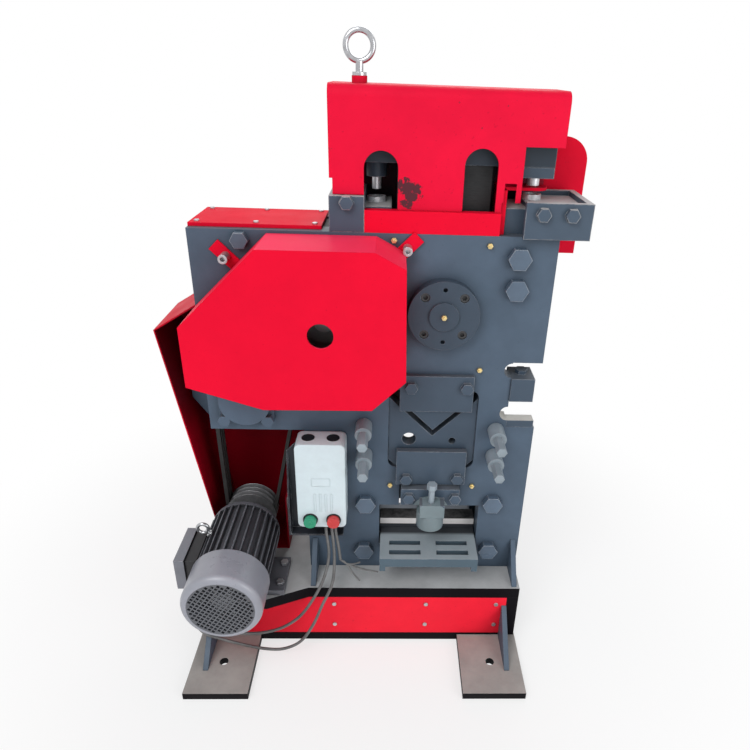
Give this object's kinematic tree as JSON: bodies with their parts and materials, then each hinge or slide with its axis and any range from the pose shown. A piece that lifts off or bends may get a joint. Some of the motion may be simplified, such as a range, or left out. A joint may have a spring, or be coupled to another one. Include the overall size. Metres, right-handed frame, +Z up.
{
  "type": "ironworker machine",
  "caption": "Mechanical ironworker with geared eccentric drive, belt motor, punch stations, angle, bar and flat shears and notcher.",
  "frame": {"origin": "centre of the four anchor holes, on the floor", "axes": "+X to the right seen from the operator, front towards -Y, +Z up"},
  "size_m": [0.903, 0.64, 1.3476],
  "materials": {
    "red_paint": "gloss",
    "frame_paint": "satin",
    "base_paint": "satin",
    "machined_steel": "satin",
    "gear_steel": "satin",
    "wheel_iron": "matt",
    "tool_steel": "satin",
    "plated_steel": "satin",
    "bronze": "satin",
    "brass": "satin",
    "belt_rubber": "matt",
    "motor_paint": "satin",
    "starter_plastic": "satin",
    "green_plastic": "gloss",
    "red_plastic": "gloss",
    "cable_sheath": "matt"
  },
  "bodies": {
    "machine": {"foot_plates": "base_paint", "base_top_plate": "base_paint", "base_walls": "base_paint", "base_panels": "red_paint", "gussets": "frame_paint", "front_plate": "frame_paint", "rear_plate": "frame_paint", "frame_spacers": "machined_steel", "frame_bolts": "frame_paint", "adjusting_studs": "frame_paint", "grease_nipples": "brass", "shaft_bushes": "bronze", "bearing_cap": "frame_paint", "cap_screws": "plated_steel", "shaft_housings": "frame_paint", "drive_belts": "belt_rubber", "motor_housing": "motor_paint", "fan_cowl": "motor_paint", "motor_end_shields": "motor_paint", "terminal_box": "motor_paint", "motor_bolts": "plated_steel", "gear_cover": "red_paint", "cover_fixings": "plated_steel", "rear_gear_cover": "red_paint", "belt_guard": "red_paint", "top_strip": "red_paint", "hood": "red_paint", "hood_sill": "red_paint", "punch_guard": "red_paint", "eye_bolts": "frame_paint", "shear_blocks": "frame_paint", "shear_blades": "machined_steel", "left_die": "frame_paint", "right_die": "frame_paint", "die_bracket": "frame_paint", "die_rings": "tool_steel", "notch_table": "frame_paint", "notch_die": "tool_steel", "starter_box": "starter_plastic", "starter_bracket": "plated_steel", "motor_leads": "cable_sheath", "supply_tail": "cable_sheath"},
    "drive_shaft": {"flywheel_shaft": "machined_steel", "flywheel": "wheel_iron"},
    "second_shaft_set": {"second_shaft": "machined_steel", "first_gear": "gear_steel"},
    "gear_shaft_set": {"gear_shaft": "machined_steel", "second_gear": "gear_steel"},
    "eccentric": {"eccentric_shaft": "machined_steel", "eccentric_gear": "gear_steel"},
    "motor_rotor_set": {"motor_rotor": "machined_steel", "motor_pulley": "wheel_iron"},
    "ram": {"slide": "machined_steel", "crosshead": "frame_paint", "punch_holder": "frame_paint", "punches": "tool_steel", "notch_holder": "frame_paint"},
    "notch_screw_body": {"notch_screw": "tool_steel"},
    "start": {"start_button": "green_plastic"},
    "stop": {"stop_button": "red_plastic"}
  },
  "joints": [
    {"name": "flywheel_spin", "type": "hinge", "parent": "machine", "child": "drive_shaft", "pos_m": [-0.2427, 0, 0.64297], "axis": [0, 1, 0], "continuous": true},
    {"name": "second_shaft_spin", "type": "hinge", "parent": "machine", "child": "second_shaft_set", "pos_m": [-0.22287, 0, 0.78408], "axis": [0, 1, 0], "continuous": true},
    {"name": "gear_shaft_spin", "type": "hinge", "parent": "machine", "child": "gear_shaft_set", "pos_m": [-0.06686, 0, 0.8378], "axis": [0, 1, 0], "continuous": true},
    {"name": "eccentric_spin", "type": "hinge", "parent": "machine", "child": "eccentric", "pos_m": [0.168, 0, 0.846], "axis": [0, 1, 0], "continuous": true},
    {"name": "motor_spin", "type": "hinge", "parent": "machine", "child": "motor_rotor_set", "pos_m": [-0.28, 0, 0.263], "axis": [0, 1, 0], "continuous": true},
    {"name": "ram_stroke", "type": "slide", "parent": "machine", "child": "ram", "axis": [0, 0, 1], "range_m": [-0.018, 0]},
    {"name": "notch_screw_turn", "type": "hinge", "parent": "ram", "child": "notch_screw_body", "pos_m": [0.162, -0.125, 0.43], "axis": [0, 0, 1], "range_deg": [-360, 360]},
    {"name": "start_press", "type": "slide", "parent": "machine", "child": "start", "axis": [0, 1, 0], "range_m": [0, 0.004], "stiffness_N_per_m": 900},
    {"name": "stop_press", "type": "slide", "parent": "machine", "child": "stop", "axis": [0, 1, 0], "range_m": [0, 0.004], "stiffness_N_per_m": 900}
  ],
  "couplings": [
    {"joint": "second_shaft_spin", "follows": "flywheel_spin", "ratio": -0.46154},
    {"joint": "gear_shaft_spin", "follows": "flywheel_spin", "ratio": 0.14769},
    {"joint": "eccentric_spin", "follows": "flywheel_spin", "ratio": -0.053512},
    {"joint": "motor_spin", "follows": "flywheel_spin", "ratio": 1.75}
  ]
}
